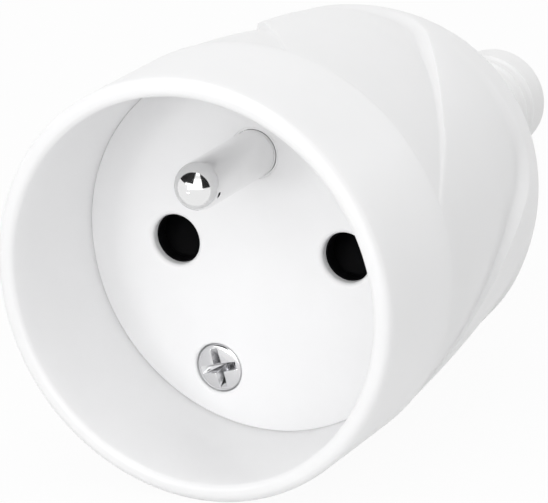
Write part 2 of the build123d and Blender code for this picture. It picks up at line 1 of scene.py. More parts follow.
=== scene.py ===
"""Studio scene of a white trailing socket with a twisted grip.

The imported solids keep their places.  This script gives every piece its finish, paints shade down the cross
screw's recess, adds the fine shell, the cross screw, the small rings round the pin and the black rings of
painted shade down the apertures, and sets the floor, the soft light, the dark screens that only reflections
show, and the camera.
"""

import logging
import math
from dataclasses import dataclass, replace
from enum import Enum

import bmesh
import bpy
from mathutils import Matrix, Vector


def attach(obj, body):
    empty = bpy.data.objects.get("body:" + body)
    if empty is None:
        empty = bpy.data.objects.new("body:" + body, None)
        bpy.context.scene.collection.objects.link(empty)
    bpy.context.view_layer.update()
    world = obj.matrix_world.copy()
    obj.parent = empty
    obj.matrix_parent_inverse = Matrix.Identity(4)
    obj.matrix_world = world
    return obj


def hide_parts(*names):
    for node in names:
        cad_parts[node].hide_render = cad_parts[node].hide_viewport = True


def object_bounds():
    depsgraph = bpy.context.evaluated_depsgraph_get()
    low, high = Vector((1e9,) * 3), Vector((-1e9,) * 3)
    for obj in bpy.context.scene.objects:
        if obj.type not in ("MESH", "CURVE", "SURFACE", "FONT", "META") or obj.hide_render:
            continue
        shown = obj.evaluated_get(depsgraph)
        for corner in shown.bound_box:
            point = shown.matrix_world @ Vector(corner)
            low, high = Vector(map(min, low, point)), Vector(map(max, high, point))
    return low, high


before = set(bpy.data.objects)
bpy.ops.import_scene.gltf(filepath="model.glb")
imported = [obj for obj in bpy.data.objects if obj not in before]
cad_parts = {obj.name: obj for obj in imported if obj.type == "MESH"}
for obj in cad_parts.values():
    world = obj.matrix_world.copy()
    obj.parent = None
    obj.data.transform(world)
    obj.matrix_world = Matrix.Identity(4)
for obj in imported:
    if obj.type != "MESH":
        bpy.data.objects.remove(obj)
CAD_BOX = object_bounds()

log = logging.getLogger("trailing_socket")

MM = 0.001
IMAGE_WIDTH = 548
SHARP_DEG = 38.0
TURNED_COLUMNS = 96

Rgb = tuple[float, float, float]
Pair = tuple[float, float]
Spot = tuple[float, float]
Point = tuple[float, float, float]
Ring = list[Point]

# Values that all finishes share
COAT_ROUGHNESS = 0.12
GLOW_DEPTH_MM = 3.0
EVEN_GLOW: Rgb = (1.0, 1.0, 1.0)
CLOUD_PER_GRAIN = 9.0
CLOUD_DETAIL = 3.0
CLOUD_LOW = 0.2
CLOUD_HIGH = 0.8
COLOUR_DRIFT = 0.15
GRAIN_DETAIL = 2.0
GRAIN_STRENGTH = 0.5
# Colour of the painted shade deep in the face screw's cross recess.
PAINTED_RECESS_SHADE: Rgb = (0.36, 0.36, 0.37)

READY: dict[str, bpy.types.Material] = {}


class Surface(Enum):
    """Kinds of surface that a finish can have."""

    PLASTIC = "plastic"
    METAL = "metal"


@dataclass(frozen=True)
class Finish:
    """One finish: its colour, gloss and fine relief.

    Args:
        name: Material name.
        surface: Plastic or metal.
        colour: Base colour, linear.
        roughness: Mean roughness.
        uneven: How far the roughness and colour vary over the surface.
        grain_mm: Size of the fine relief.
        relief_mm: Height of the fine relief.
        coat: Weight of a clear gloss over the surface.
        sheen_level: Strength of the mirror-like share of a plastic's light.
        glow_through: Share of the light that spreads inside a pale plastic.
        painted_shade_from_mm: Depth below the contact face where painted shade begins to darken a recess.
        painted_shade_to_mm: Depth where the painted shade is darkest; no painted shade when both are equal.
    """

    name: str
    surface: Surface
    colour: Rgb
    roughness: float
    uneven: float
    grain_mm: float
    relief_mm: float
    coat: float = 0.0
    sheen_level: float = 0.5
    glow_through: float = 0.0
    painted_shade_from_mm: float = 0.0
    painted_shade_to_mm: float = 0.0

    def material(self) -> bpy.types.Material:
        """Makes the node material, once.

        Returns:
            The material.
        """
        if self.name in READY:
            return READY[self.name]
        made = bpy.data.materials.new(self.name)
        READY[self.name] = made
        made.use_nodes = True
        tree = made.node_tree
        tree.nodes.clear()
        out = tree.nodes.new("ShaderNodeOutputMaterial")
        shader = tree.nodes.new("ShaderNodeBsdfPrincipled")
        tree.links.new(shader.outputs["BSDF"], out.inputs["Surface"])
        shader.inputs["Metallic"].default_value = 1.0 if self.surface is Surface.METAL else 0.0
        shader.inputs["Specular IOR Level"].default_value = self.sheen_level
        shader.inputs["Coat Weight"].default_value = self.coat
        shader.inputs["Coat Roughness"].default_value = COAT_ROUGHNESS
        shader.inputs["Subsurface Weight"].default_value = self.glow_through
        shader.inputs["Subsurface Scale"].default_value = GLOW_DEPTH_MM * MM
        shader.inputs["Subsurface Radius"].default_value = EVEN_GLOW
        place = tree.nodes.new("ShaderNodeTexCoord")
        cloud = self._noise(tree, place, CLOUD_PER_GRAIN * self.grain_mm, CLOUD_DETAIL)
        self._vary_colour(tree, shader, cloud, place)
        self._vary_roughness(tree, shader, cloud)
        self._raise_grain(tree, shader, place)
        return made

    def _noise(self, tree: bpy.types.NodeTree, place: bpy.types.Node, size_mm: float,
               detail: float) -> bpy.types.Node:
        """Adds a noise pattern of the given size.

        Args:
            tree: Node tree to add to.
            place: Texture coordinate node.
            size_mm: Size of the pattern's features.
            detail: Number of finer octaves.

        Returns:
            The noise node.
        """
        noise = tree.nodes.new("ShaderNodeTexNoise")
        noise.inputs["Scale"].default_value = 1.0 / (size_mm * MM)
        noise.inputs["Detail"].default_value = detail
        tree.links.new(place.outputs["Object"], noise.inputs["Vector"])
        return noise

    def _vary_colour(self, tree: bpy.types.NodeTree, shader: bpy.types.Node, cloud: bpy.types.Node,
                     place: bpy.types.Node) -> None:
        """Lets the base colour drift a little with the cloud pattern, and darkens it down a recess with painted
        shade.

        Args:
            tree: Node tree to add to.
            shader: Shader whose colour is set.
            cloud: Noise node that the drift follows.
            place: Texture coordinate node.
        """
        ramp = tree.nodes.new("ShaderNodeValToRGB")
        ramp.color_ramp.interpolation = "EASE"
        low = [c * (1.0 - COLOUR_DRIFT * self.uneven) for c in self.colour]
        ramp.color_ramp.elements[0].position = CLOUD_LOW
        ramp.color_ramp.elements[1].position = CLOUD_HIGH
        ramp.color_ramp.elements[0].color = (*low, 1.0)
        ramp.color_ramp.elements[1].color = (*self.colour, 1.0)
        tree.links.new(cloud.outputs["Fac"], ramp.inputs["Fac"])
        if self.painted_shade_to_mm == self.painted_shade_from_mm:
            tree.links.new(ramp.outputs["Color"], shader.inputs["Base Color"])
            return
        # Painted shade: the base colour turns towards the painted shade colour as the depth grows down a
        # recess.
        parts = tree.nodes.new("ShaderNodeSeparateXYZ")
        tree.links.new(place.outputs["Object"], parts.inputs["Vector"])
        depth = tree.nodes.new("ShaderNodeMapRange")
        depth.interpolation_type = "SMOOTHSTEP"
        depth.inputs["From Min"].default_value = self.painted_shade_from_mm * MM
        depth.inputs["From Max"].default_value = self.painted_shade_to_mm * MM
        tree.links.new(parts.outputs["Y"], depth.inputs["Value"])
        painted_shade = tree.nodes.new("ShaderNodeMix")
        painted_shade.data_type = "RGBA"
        painted_shade.inputs["B"].default_value = (*PAINTED_RECESS_SHADE, 1.0)
        tree.links.new(depth.outputs["Result"], painted_shade.inputs["Factor"])
        tree.links.new(ramp.outputs["Color"], painted_shade.inputs["A"])
        tree.links.new(painted_shade.outputs["Result"], shader.inputs["Base Color"])

    def _vary_roughness(self, tree: bpy.types.NodeTree, shader: bpy.types.Node,
                        cloud: bpy.types.Node) -> None:
        """Lets the roughness drift a little with the cloud pattern.

        Args:
            tree: Node tree to add to.
            shader: Shader whose roughness is set.
            cloud: Noise node that the drift follows.
        """
        spread = tree.nodes.new("ShaderNodeMapRange")
        spread.interpolation_type = "SMOOTHSTEP"
        spread.inputs["From Min"].default_value = CLOUD_LOW
        spread.inputs["From Max"].default_value = CLOUD_HIGH
        spread.inputs["To Min"].default_value = self.roughness * (1.0 - self.uneven)
        spread.inputs["To Max"].default_value = self.roughness * (1.0 + self.uneven)
        tree.links.new(cloud.outputs["Fac"], spread.inputs["Value"])
        tree.links.new(spread.outputs["Result"], shader.inputs["Roughness"])

    def _raise_grain(self, tree: bpy.types.NodeTree, shader: bpy.types.Node,
                     place: bpy.types.Node) -> None:
        """Gives the surface its fine moulded or turned relief.

        Args:
            tree: Node tree to add to.
            shader: Shader whose normal is set.
            place: Texture coordinate node.
        """
        grain = self._noise(tree, place, self.grain_mm, GRAIN_DETAIL)
        bump = tree.nodes.new("ShaderNodeBump")
        bump.inputs["Strength"].default_value = GRAIN_STRENGTH
        bump.inputs["Distance"].default_value = self.relief_mm * MM
        tree.links.new(grain.outputs["Fac"], bump.inputs["Height"])
        tree.links.new(bump.outputs["Normal"], shader.inputs["Normal"])


WHITE_SHELL = Finish("white_shell", Surface.PLASTIC, (0.91, 0.91, 0.915), 0.34, 0.18, 1.4, 0.006,
                     coat=0.1, glow_through=0.6)
WHITE_FACE = Finish("white_face", Surface.PLASTIC, (0.92, 0.92, 0.925), 0.40, 0.15, 0.9, 0.006)
WHITE_SLEEVE = Finish("white_sleeve", Surface.PLASTIC, (0.92, 0.92, 0.92), 0.45, 0.15, 0.6, 0.010)
IVORY = Finish("ivory_moulding", Surface.PLASTIC, (0.70, 0.67, 0.58), 0.45, 0.2, 0.8, 0.010)
BLACK = Finish("black_moulding", Surface.PLASTIC, (0.004, 0.004, 0.0045), 0.6, 0.2, 0.3, 0.006,
               sheen_level=0.05)
BRASS = Finish("brass", Surface.METAL, (0.72, 0.52, 0.22), 0.26, 0.3, 0.4, 0.004)
NICKEL = Finish("nickel", Surface.METAL, (0.84, 0.84, 0.84), 0.10, 0.2, 0.5, 0.001)
ZINC = Finish("zinc_steel", Surface.METAL, (0.78, 0.78, 0.79), 0.12, 0.3, 0.3, 0.002)
# The face screw's cross recess gets painted shade from 0.3 mm to 1.2 mm below the contact face.
CROSS_ZINC = replace(ZINC, name="cross_zinc", painted_shade_from_mm=0.3, painted_shade_to_mm=1.2)
SPRING_STEEL = Finish("spring_steel", Surface.METAL, (0.42, 0.42, 0.43), 0.3, 0.3, 0.3, 0.002)

NODE_FINISHES: dict[str, Finish] = {
    "housing": WHITE_SHELL, "face_plate": WHITE_FACE, "cable_sleeve": WHITE_SLEEVE,
    "contact_carrier": IVORY, "clamp_bar": IVORY, "shutter": BLACK,
    "live_contact": BRASS, "neutral_contact": BRASS, "cover_insert": BRASS,
    "live_terminal": BRASS, "neutral_terminal": BRASS, "earth_terminal": BRASS,
    "earth_pin": NICKEL, "cover_screw": ZINC, "terminal_screws": ZINC,
    "carrier_screws": ZINC, "clamp_screws": ZINC,
    "contact_springs": SPRING_STEEL, "shutter_spring": SPRING_STEEL,
}


@dataclass
class Dressing:
    """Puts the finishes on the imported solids."""

    def dress(self) -> None:
        """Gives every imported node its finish."""
        for name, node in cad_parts.items():
            node.data.materials.clear()
            node.data.materials.append(NODE_FINISHES[name].material())
            log.info("dressed %s", name)


def smooth_share(value: float) -> float:
    """Rises from 0 to 1 with level ends as the value goes from 0 to 1."""
    held = min(1.0, max(0.0, value))
    return held * held * (3.0 - 2.0 * held)


def arc_spots(centre: Spot, radius: float, start_deg: float, end_deg: float, steps: int) -> list[Spot]:
    """Points of an arc in the plane of radius and depth.

    Args:
        centre: Middle of the arc.
        radius: Its radius.
        start_deg: First angle, 0 along the radius and 90 along the depth.
        end_deg: Last angle.
        steps: Number of spans.

    Returns:
        The points, both ends included.
    """
    spots = []
    for number in range(steps + 1):
        angle = math.radians(start_deg + (end_deg - start_deg) * number / steps)
        spots.append((centre[0] + radius * math.cos(angle), centre[1] + radius * math.sin(angle)))
    return spots


def line_spots(start: Spot, end: Spot, steps: int) -> list[Spot]:
    """Points of a straight line, its start left out.

    Args:
        start: First end.
        end: Last end.
        steps: Number of spans.

    Returns:
        The points after the start.
    """
    return [(start[0] + (end[0] - start[0]) * number / steps,
             start[1] + (end[1] - start[1]) * number / steps)
            for number in range(1, steps + 1)]


def skin_mesh(name: str, points: list[Point], faces: list[tuple[int, ...]]) -> bpy.types.Mesh:
    """Makes a closed mesh whose faces all look outwards.

    Args:
        name: Mesh name.
        points: Corners, in metres.
        faces: Corner numbers of each face.

    Returns:
        The new mesh, smooth but for its corners.
    """
    mesh = bpy.data.meshes.new(name)
    mesh.from_pydata(points, [], faces)
    work = bmesh.new()
    work.from_mesh(mesh)
    bmesh.ops.recalc_face_normals(work, faces=work.faces)
    work.to_mesh(mesh)
    work.free()
    mesh.shade_smooth()
    mesh.set_sharp_from_angle(angle=math.radians(SHARP_DEG))
    return mesh


def ring_mesh(name: str, rings: list[Ring]) -> bpy.types.Mesh:
    """Joins rings of points into one closed skin, the last ring to the first.

    Args:
        name: Mesh name.
        rings: Rings of equal length, in millimetres.

    Returns:
        The new mesh, smooth but for its corners.
    """
    count = len(rings[0])
    points = [tuple(c * MM for c in point) for ring in rings for point in ring]
    faces = []
    for row in range(len(rings)):
        after = (row + 1) % len(rings)
        for column in range(count):
            beside = (column + 1) % count
            faces.append((row * count + column, row * count + beside, after * count + beside,
                          after * count + column))
    return skin_mesh(name, points, faces)


@dataclass
class Shell:
    """Collar and twisted grip in one moulding, with the room inside it.

    Lengths are in millimetres, and depths are measured from the contact face.  Six panels are sunk into the
    grip.  Each is level with the grip at one side, sinks towards the ridge at its other side, and ends in a
    soft shoulder below the dome.
    """

    recess_radius: float = 19.115
    recess_draft: float = 0.5
    recess_depth: float = 15.0
    collar_radius: float = 21.49
    collar_back: float = -0.7
    lip_outer_round: float = 0.9
    lip_inner_round: float = 0.6
    ridge_step: float = 0.06
    ridge_slope: float = 0.08
    dome_start: float = 19.0
    dome_length: float = 23.2
    dome_power: float = 2.2
    nose: float = 40.74
    ridges: int = 6
    ridge_angle: float = 71.0
    twist_per_mm: float = 2.0
    sink_front: float = 0.14
    sink_back: float = 1.15
    sink_full: float = 18.0
    shoulder: float = 25.4
    shoulder_slope: float = 0.03
    shoulder_wide: float = 2.7
    shoulder_corner: float = 3.0
    wall_wide: float = 0.6
    wall_grows_from: float = 12.5
    wall_power: float = 0.65
    crown: float = 1.7
    row_pitch: float = 0.35
    slope_probe: float = 0.01
    straight_rows: int = 12
    lip_inner_rows: int = 8
    lip_outer_rows: int = 10
    room_rows: int = 16
    leaf_columns: int = 34
    wall_columns: int = 16
    wall_zone: float = 4.0
    seat: float = 1.6
    seat_radius: float = 18.0
    room_radius: float = 16.14
    room_turn: float = 22.0
    room_end: float = 38.54
    room_crown: float = 39.24
    flange_radius: float = 7.4
    hole_radius: float = 5.0

    def build(self) -> None:
        """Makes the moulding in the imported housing's place."""
        add_piece(ring_mesh("shell", self._rings()), WHITE_SHELL, "housing")

    def _columns(self) -> list[float]:
        """Angles of the columns, from one ridge round to the same ridge.

        Returns:
            The angles, in degrees, closer together at each ridge's wall.
        """
        turn = 360.0 / self.ridges
        leaf = turn - self.wall_zone
        one = [leaf * number / self.leaf_columns for number in range(self.leaf_columns)]
        one += [leaf + self.wall_zone * number / self.wall_columns for number in range(self.wall_columns)]
        return [turn * ridge + angle for ridge in range(self.ridges) for angle in one]

    def _ridge_radius(self, depth: float) -> float:
        """Distance of the ridges from the axis.

        Args:
            depth: Depth of the point.

        Returns:
            The distance, in millimetres.
        """
        straight = self.collar_radius - self.ridge_step - self.ridge_slope * (depth - self.collar_back)
        share = max(0.0, (depth - self.dome_start) / self.dome_length)
        return straight * (1.0 - share ** self.dome_power) ** (1.0 / self.dome_power)

    def _sink(self, across: float, depth: float, radius: float) -> float:
        """How far the panel lies below the ridges.

        Args:
            across: Angle from the ridge at the panel's level side.
            depth: Depth of the point.
            radius: Distance of the ridges from the axis there.

        Returns:
            The distance, in millimetres.
        """
        turn = 360.0 / self.ridges
        lean = math.atan(math.radians(self.twist_per_mm) * radius)
        to_ridge = math.radians(turn - across) * radius * math.cos(lean)
        to_shoulder = self.shoulder - self.shoulder_slope * (turn - across) - depth
        inside = min(to_ridge, to_shoulder)
        corner = self.shoulder_corner
        if max(to_ridge, to_shoulder) < corner:
            inside = corner - math.hypot(corner - to_ridge, corner - to_shoulder)
        growth = (depth - self.wall_grows_from) / (self.shoulder - self.wall_grows_from)
        widened = min(1.0, max(0.0, growth))
        wide = self.wall_wide + (self.shoulder_wide - self.wall_wide) * widened ** 2
        deepened = min(1.0, max(0.0, depth / self.sink_full))
        full = self.sink_front + (self.sink_back - self.sink_front) * deepened ** 2
        wall = smooth_share(max(0.0, inside / wide) ** self.wall_power)
        return full * (across / turn) ** self.crown * wall

    def _depths(self) -> list[float]:
        """Depths of the grip's rows, evenly spaced along its profile.

        Returns:
            The depths, from the collar's back edge to the nose.
        """
        depths = [self.collar_back]
        while depths[-1] < self.nose:
            here = depths[-1]
            probe = min(self.nose, here + self.slope_probe)
            fall = self._ridge_radius(here) - self._ridge_radius(probe)
            depths.append(here + self.row_pitch / math.hypot(1.0, fall / (probe - here)))
        return depths[:-1] + [self.nose]

    def _ring(self, spot: Spot, turn: float) -> Ring:
        """Round ring of points.

        Args:
            spot: Radius and depth.
            turn: Angle of the first column.

        Returns:
            The points.
        """
        radius, depth = spot
        angles = [math.radians(turn + column) for column in self._columns()]
        return [(radius * math.sin(angle), depth, radius * math.cos(angle)) for angle in angles]

    def _grip_ring(self, depth: float) -> Ring:
        """Ring of points round the grip, with its panels.

        Args:
            depth: Depth of the ring.

        Returns:
            The points.
        """
        turn = 360.0 / self.ridges
        radius = self._ridge_radius(depth)
        start = self.ridge_angle - self.twist_per_mm * depth
        ring = []
        for column in self._columns():
            reach = radius - self._sink(column % turn, depth, radius)
            angle = math.radians(start + column)
            ring.append((reach * math.sin(angle), depth, reach * math.cos(angle)))
        return ring

    def _collar_spots(self) -> list[Spot]:
        """Profile from the plate's seat, over the lip, to the collar's back edge.

        Returns:
            Radius and depth of each corner.
        """
        mouth = self.recess_radius + self.recess_draft
        front = -self.recess_depth
        spots = [(self.seat_radius, self.seat), (self.recess_radius, self.seat), (self.recess_radius, 0.0)]
        spots += line_spots(spots[-1], (mouth, front + self.lip_inner_round), self.straight_rows)
        inner = (mouth + self.lip_inner_round, front + self.lip_inner_round)
        spots += arc_spots(inner, self.lip_inner_round, 180.0, 270.0, self.lip_inner_rows)[1:]
        outer = (self.collar_radius - self.lip_outer_round, front + self.lip_outer_round)
        spots += arc_spots(outer, self.lip_outer_round, 270.0, 360.0, self.lip_outer_rows)
        return spots + line_spots(spots[-1], (self.collar_radius, self.collar_back), self.straight_rows)

    def _room_spots(self) -> list[Spot]:
        """Profile from the nose's hole, through the room, to the plate's seat.

        Returns:
            Radius and depth of each corner.
        """
        spots = [(self.hole_radius, self.nose), (self.hole_radius, self.room_end),
                 (self.flange_radius, self.room_end)]
        last = math.acos(self.flange_radius / self.room_radius)
        rise = self.room_crown - self.room_turn
        for number in range(self.room_rows, -1, -1):
            angle = last * number / self.room_rows
            spots.append((self.room_radius * math.cos(angle), self.room_turn + rise * math.sin(angle)))
        return spots + line_spots(spots[-1], (self.seat_radius, self.seat), self.straight_rows)[:-1]

    def _rings(self) -> list[Ring]:
        """All rings in order, from the plate's seat round the outside and back through the room.

        Returns:
            Rings of equal length, in millimetres.
        """
        first = self.ridge_angle - self.twist_per_mm * self.collar_back
        last = self.ridge_angle - self.twist_per_mm * self.nose
        rings = [self._ring(spot, first) for spot in self._collar_spots()]
        rings += [self._grip_ring(depth) for depth in self._depths()]
        room = self._room_spots()
        for number, spot in enumerate(room):
            rings.append(self._ring(spot, last + (first - last) * number / len(room)))
        return rings


def turned_mesh(name: str, profile: list[Spot], side: float, rise: float) -> bpy.types.Mesh:
    """Turns a closed profile round an axis along the depth.

    Args:
        name: Mesh name.
        profile: Radius and depth of each corner, in millimetres.
        side: Place of the axis across the face.
        rise: Place of the axis up the face.

    Returns:
        The new mesh.
    """
    turns = [2.0 * math.pi * column / TURNED_COLUMNS for column in range(TURNED_COLUMNS)]
    rings = [[(side + radius * math.sin(turn), depth, rise + radius * math.cos(turn)) for turn in turns]
             for radius, depth in profile]
    return ring_mesh(name, rings)


def add_piece(mesh: bpy.types.Mesh, finish: Finish, replaced: str = "") -> None:
    """Puts a finished piece on the socket.

    Args:
        mesh: The piece's mesh, whose name the piece takes.
        finish: Its finish.
        replaced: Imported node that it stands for, if any.
    """
    piece = bpy.data.objects.new(mesh.name, mesh)
    bpy.context.scene.collection.objects.link(piece)
    mesh.materials.clear()
    mesh.materials.append(finish.material())
    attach(piece, "socket")
    if replaced:
        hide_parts(replaced)
    log.info("built %s", piece.name)


@dataclass
class FaceRings:
    """Black sleeves a little way down the two apertures, which paint the shade deep in the bores, and the rings
    that close the earth pin's foot.

    Lengths are in millimetres, and depths are measured from the contact face.
    """

    aperture_side: float = 9.5
    mouth_radius: float = 2.59
    mouth_wall: float = 0.16
    mouth_front: float = 1.0
    mouth_back: float = 2.39
    pin_rise: float = 10.0
    foot_radii: Pair = (2.02, 2.395)
    foot_depths: Pair = (-0.285, 0.185)
    seat_radii: Pair = (2.44, 2.635)
    seat_depths: Pair = (0.0, 0.185)
    edge: float = 0.03
    edge_rows: int = 4

    def build(self) -> None:
        """Makes the four rings."""
        # Black sleeves in the apertures: painted shade deep in the bores.
        mouth = self._section((self.mouth_radius - self.mouth_wall, self.mouth_radius),
                              (self.mouth_front, self.mouth_back))
        add_piece(turned_mesh("neutral_painted_shade", mouth, -self.aperture_side, 0.0), BLACK)
        add_piece(turned_mesh("live_painted_shade", mouth, self.aperture_side, 0.0), BLACK)
        foot = self._section(self.foot_radii, self.foot_depths)
        add_piece(turned_mesh("pin_foot", foot, 0.0, self.pin_rise), NICKEL)
        seat = self._section(self.seat_radii, self.seat_depths)
        add_piece(turned_mesh("pin_seat", seat, 0.0, self.pin_rise), WHITE_FACE)

    def _section(self, radii: Pair, depths: Pair) -> list[Spot]:
        """Section of a ring with a soft front edge.

        Args:
            radii: Inner and outer radius.
            depths: Front and back.

        Returns:
            Its corners.
        """
        inner, outer = radii
        front, back = depths
        spots = [(inner, back)]
        spots += arc_spots((inner + self.edge, front + self.edge), self.edge, 180.0, 270.0, self.edge_rows)
        spots += arc_spots((outer - self.edge, front + self.edge), self.edge, 270.0, 360.0, self.edge_rows)
        return spots + [(outer, back)]


@dataclass
class CoverScrew:
    """Screw of the face plate: low round head with a tapered cross recess, and a threaded shank.

    Lengths are in millimetres, and depths are measured from the contact face.
    """

    side: float = -5.4
    rise: float = -13.2
    head_top: float = 0.08
    head_crown: tuple[Spot, ...] = ((0.5, 0.0), (1.4, 0.02), (2.05, 0.07), (2.35, 0.15), (2.48, 0.26))
    head_radius: float = 2.54
    head_drop: float = 0.42
    head_seat: float = 2.0
    seat_chamfer: float = 0.1
    shank_end: float = 22.0
    thread_radius: float = 1.68
    core_radius: float = 1.36
    tip_share: float = 0.6
    pitch: float = 0.7
    columns: int = 64
    rows_per_turn: int = 8
    recess_deep: float = 1.35
    recess_turn: float = -14.0
    arm_mouth: Pair = (2.1, 0.50)
    arm_floor: Pair = (0.95, 0.28)
    arm_taper: float = 0.9
    cut_above: float = 0.3
    point_deep: float = 0.35
    edge_round: float = 0.05
    edge_rows: int = 2
    edge_deg: float = 35.0

    def build(self) -> None:
        """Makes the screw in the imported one's place."""
        body = bpy.data.objects.new("screw_blank", self._blank())
        cutter = bpy.data.objects.new("screw_recess", self._recess())
        for piece in (body, cutter):
            bpy.context.scene.collection.objects.link(piece)
        cut = body.modifiers.new("recess", "BOOLEAN")
        cut.object = cutter
        cut.solver = "EXACT"
        soften = body.modifiers.new("soften", "BEVEL")
        soften.width = self.edge_round * MM
        soften.segments = self.edge_rows
        soften.angle_limit = math.radians(self.edge_deg)
        view = bpy.context.evaluated_depsgraph_get()
        mesh = bpy.data.meshes.new_from_object(body.evaluated_get(view))
        mesh.name = "face_screw"
        mesh.shade_smooth()
        mesh.set_sharp_from_angle(angle=math.radians(SHARP_DEG))
        for piece in (body, cutter):
            bpy.data.objects.remove(piece)
        add_piece(mesh, CROSS_ZINC, "cover_screw")

    def _spot(self, radius: float, depth: float, angle: float) -> Point:
        """Point round the screw's axis, in metres."""
        return ((self.side + radius * math.sin(angle)) * MM, depth * MM,
                (self.rise + radius * math.cos(angle)) * MM)

    def _blank(self) -> bpy.types.Mesh:
        """Screw without its recess.

        Returns:
            The new mesh.
        """
        head, seat = self.head_radius, self.head_seat
        spots = [*self.head_crown, (head, self.head_drop)]
        profile = [(radius, self.head_top + drop) for radius, drop in spots]
        profile += [(head, seat - self.seat_chamfer), (head - self.seat_chamfer, seat),
                    (self.core_radius, seat)]
        turns = [2.0 * math.pi * column / self.columns for column in range(self.columns)]
        points = [self._spot(radius, depth, turn) for radius, depth in profile for turn in turns]
        rows = len(profile)
        first = seat + self.pitch / 2
        last = self.shank_end - self.pitch
        steps = int((last - first) / self.pitch * self.rows_per_turn)
        for step in range(steps + 1):
            depth = first + (last - first) * step / steps
            fade = min(1.0, (depth - first) / self.pitch, (last - depth) / self.pitch)
            for turn in turns:
                phase = (depth / self.pitch - turn / (2.0 * math.pi)) % 1.0
                crest = 1.0 - abs(2.0 * phase - 1.0)
                radius = self.core_radius + (self.thread_radius - self.core_radius) * crest * fade
                points.append(self._spot(radius, depth, turn))
        rows += steps + 1
        points += [self._spot(self.core_radius * self.tip_share, self.shank_end, turn) for turn in turns]
        rows += 1
        faces = [tuple(range(self.columns)),
                 tuple(reversed(range((rows - 1) * self.columns, rows * self.columns)))]
        for row in range(rows - 1):
            for column in range(self.columns):
                beside = (column + 1) % self.columns
                here, after = row * self.columns, (row + 1) * self.columns
                faces.append((here + beside, here + column, after + column, after + beside))
        return skin_mesh("screw_blank", points, faces)

    def _cross(self, reach: float, half: float, depth: float) -> list[Point]:
        """Twelve corners of a cross at one depth.

        Args:
            reach: From the middle to the end of an arm.
            half: Half the width of an arm.
            depth: Depth of the cross.

        Returns:
            The corners, in metres.
        """
        corners = []
        end = half * self.arm_taper
        for arm in range(4):
            for along, across in ((half, -half), (reach, -end), (reach, end)):
                angle = math.radians(90.0 * arm + self.recess_turn) + math.atan2(across, along)
                corners.append(self._spot(math.hypot(along, across), depth, angle))
        return corners

    def _recess(self) -> bpy.types.Mesh:
        """Tapered cross with a pointed floor, to be cut from the head.

        Returns:
            The new mesh.
        """
        floor = self.head_top + self.recess_deep
        slope = (self.arm_mouth[0] - self.arm_floor[0]) / self.recess_deep
        points = self._cross(self.arm_mouth[0] + slope * self.cut_above, self.arm_mouth[1],
                             self.head_top - self.cut_above)
        count = len(points)
        points += self._cross(*self.arm_floor, floor)
        points.append(self._spot(0.0, floor + self.point_deep, 0.0))
        faces = [tuple(range(count))]
        for corner in range(count):
            beside = (corner + 1) % count
            faces.append((beside, corner, count + corner, count + beside))
            faces.append((count + beside, count + corner, 2 * count))
        return skin_mesh("screw_recess", points, faces)


@dataclass(frozen=True)
class Lamp:
    """Square soft lamp that faces the object.

    Args:
        name: Lamp name.
        place: Where it stands, in metres.
        size: Its side, in metres.
        power: Its power, in watts.
    """

    name: str
    place: Point
    size: float
    power: float


@dataclass(frozen=True)
class Screen:
    """Edges of a dark screen as seen from the object, in degrees.

    Args:
        left: Left edge, 0 straight ahead of the contact face.
        right: Right edge.
        low: Lower edge, 0 at the horizon.
        high: Upper edge.
    """

    left: float
    right: float
    low: float
    high: float


